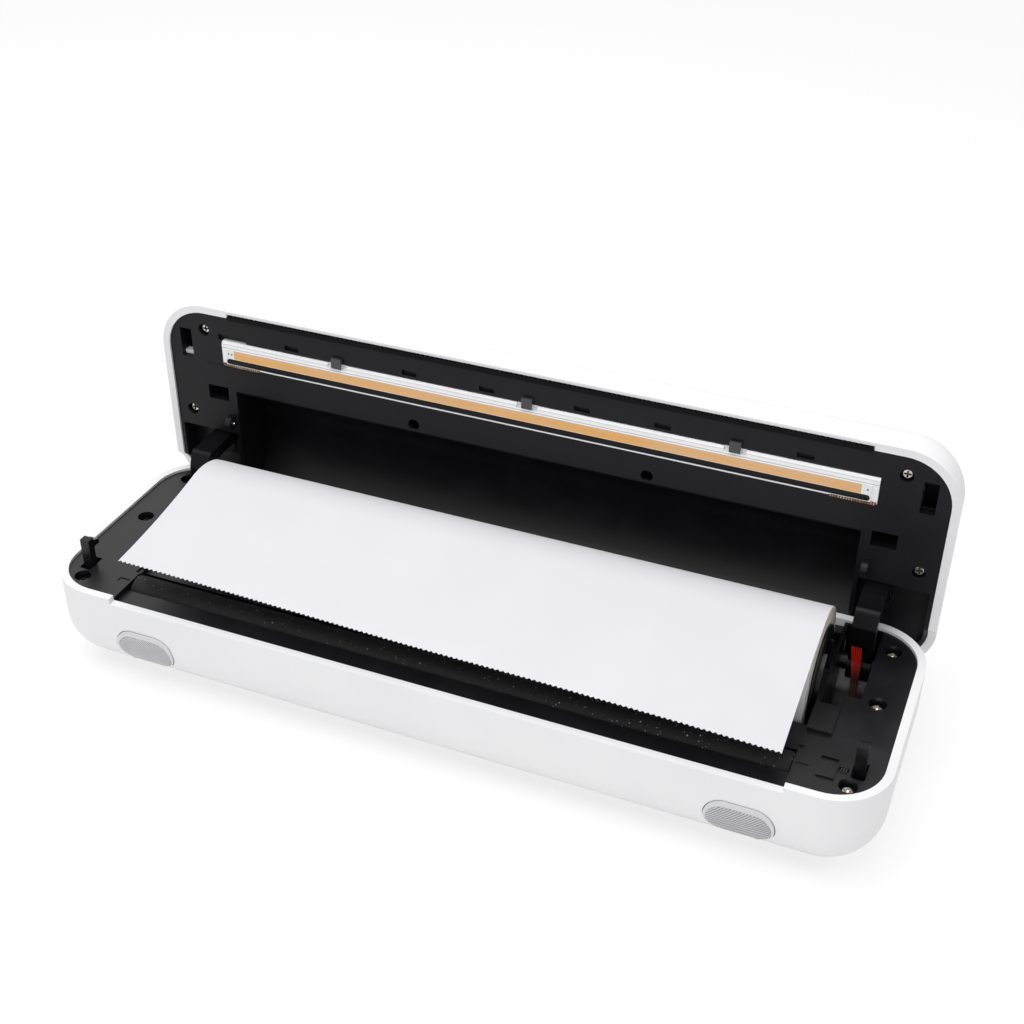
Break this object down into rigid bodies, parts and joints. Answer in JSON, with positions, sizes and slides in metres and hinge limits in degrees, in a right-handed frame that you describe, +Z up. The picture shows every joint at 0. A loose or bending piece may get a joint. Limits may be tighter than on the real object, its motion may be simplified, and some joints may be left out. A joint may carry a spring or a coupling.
{
  "type": "a4 portable thermal printer",
  "caption": "Clamshell portable thermal printer for wide paper rolls, with a hinged lid that holds the print head, a driven platen and push-release latches.",
  "frame": {"origin": "centre of the anti-slip mat under the base, on the surface that the printer stands on", "axes": "+X along the length, +Y from the paper exit at the front to the hinge at the rear, +Z up; the lid stands open at rest"},
  "size_m": [0.2685, 0.1048, 0.0946],
  "materials": {
    "white_case": "satin moulded white",
    "black_moulding": "fine spark-eroded texture",
    "black_fittings": "fine texture",
    "grey_button": "ribbed, satin",
    "rubber_mat": "matt",
    "platen_rubber": "ground matt",
    "platen_tube": "turned",
    "steel": "plated",
    "plated_sheet": "bright",
    "gear_plastic": "natural acetal",
    "paper": "smooth coated",
    "core_board": "grey board",
    "head_metal": "milled",
    "head_ceramic": "ceramic",
    "glaze": "glazed",
    "driver_resin": "cast resin",
    "board": "solder resist",
    "component_black": "moulded",
    "battery_wrap": "shrink wrap",
    "light_guide": "clear",
    "red_wire": "vinyl"
  },
  "bodies": {
    "base": {"base_shell": "white_case", "chassis": "black_moulding", "roll_holder_right": "black_fittings", "roll_holder_left": "black_fittings", "paper_sensor": "black_fittings", "base_mat": "rubber_mat", "hinge_pin_right": "steel", "hinge_pin_left": "steel", "idler_pin": "steel", "deck_screws": "steel", "latch_spring_right": "steel", "latch_spring_left": "steel", "gear_frame": "plated_sheet", "gear_cover": "plated_sheet", "stepper_motor": "plated_sheet", "usb_socket": "plated_sheet", "platen_bush_right": "gear_plastic", "platen_bush_left": "gear_plastic", "paper_web": "paper", "main_board": "board", "button_board": "board", "board_components": "component_black", "tact_switch": "component_black", "battery_pack": "battery_wrap", "light_pipe": "light_guide", "wire_bundle": "red_wire"},
    "lid": {"lid_shell": "white_case", "lid_plate": "black_moulding", "roll_cover": "black_moulding", "lid_screws": "steel", "tear_bar": "black_fittings", "hinge_arm_right": "black_fittings", "hinge_arm_left": "black_fittings", "arm_screws": "steel", "latch_strikes": "steel", "head_clips": "black_fittings", "head_springs": "steel", "head_bracket": "plated_sheet"},
    "print_head": {"heatsink": "head_metal", "ceramic_board": "head_ceramic", "heater_glaze": "glaze", "driver_strip": "driver_resin", "head_contacts": "glaze"},
    "platen": {"platen_shaft": "steel", "platen_core": "platen_tube", "platen_rubber": "platen_rubber", "platen_gear": "gear_plastic"},
    "idler": {"idler_gear": "gear_plastic"},
    "motor_rotor": {"motor_shaft": "steel", "motor_pinion": "gear_plastic"},
    "roll": {"paper_roll": "paper", "roll_core": "core_board", "roll_cap_right": "black_fittings", "roll_cap_left": "black_fittings"},
    "release_right": {"release_button_right": "grey_button"},
    "release_left": {"release_button_left": "grey_button"},
    "latch_right": {"latch_lever_right": "black_fittings"},
    "latch_left": {"latch_lever_left": "black_fittings"},
    "power_key": {"power_button": "grey_button"}
  },
  "joints": [
    {"name": "lid_hinge", "type": "hinge", "parent": "base", "child": "lid", "pos_m": [0, 0.03075, 0.02275], "axis": [1, 0, 0], "range_deg": [0, 90], "deforming": ["paper_web", "wire_bundle"]},
    {"name": "head_float", "type": "slide", "parent": "lid", "child": "print_head", "axis": [0, 1, 0], "range_m": [0, 0.0008], "stiffness_N_per_m": 4000, "deforming": ["head_springs"]},
    {"name": "platen_spin", "type": "hinge", "parent": "base", "child": "platen", "pos_m": [0, -0.0268, 0.02615], "axis": [1, 0, 0], "continuous": true},
    {"name": "idler_spin", "type": "hinge", "parent": "base", "child": "idler", "pos_m": [0, -0.02298, 0.0212], "axis": [1, 0, 0], "continuous": true},
    {"name": "motor_spin", "type": "hinge", "parent": "base", "child": "motor_rotor", "pos_m": [0, -0.02103, 0.0118], "axis": [1, 0, 0], "continuous": true},
    {"name": "roll_spin", "type": "hinge", "parent": "base", "child": "roll", "pos_m": [0, 0.012, 0.0293], "axis": [1, 0, 0], "continuous": true},
    {"name": "release_press_right", "type": "slide", "parent": "base", "child": "release_right", "axis": [0, 1, 0], "range_m": [0, 0.001], "stiffness_N_per_m": 400},
    {"name": "latch_swing_right", "type": "hinge", "parent": "base", "child": "latch_right", "pos_m": [0, -0.0356, 0.0184], "axis": [1, 0, 0], "range_deg": [0, 7.2], "deforming": ["latch_spring_right"]},
    {"name": "release_press_left", "type": "slide", "parent": "base", "child": "release_left", "axis": [0, 1, 0], "range_m": [0, 0.001], "stiffness_N_per_m": 400},
    {"name": "latch_swing_left", "type": "hinge", "parent": "base", "child": "latch_left", "pos_m": [0, -0.0356, 0.0184], "axis": [1, 0, 0], "range_deg": [0, 7.2], "deforming": ["latch_spring_left"]},
    {"name": "power_press", "type": "slide", "parent": "base", "child": "power_key", "axis": [1, 0, 0], "range_m": [0, 0.0005], "stiffness_N_per_m": 1000}
  ],
  "couplings": [
    {"joint": "idler_spin", "follows": "platen_spin", "ratio": -1.0833},
    {"joint": "motor_spin", "follows": "platen_spin", "ratio": 3.25},
    {"joint": "latch_swing_right", "follows": "release_press_right", "rad_per_m": 125},
    {"joint": "latch_swing_left", "follows": "release_press_left", "rad_per_m": 125}
  ]
}
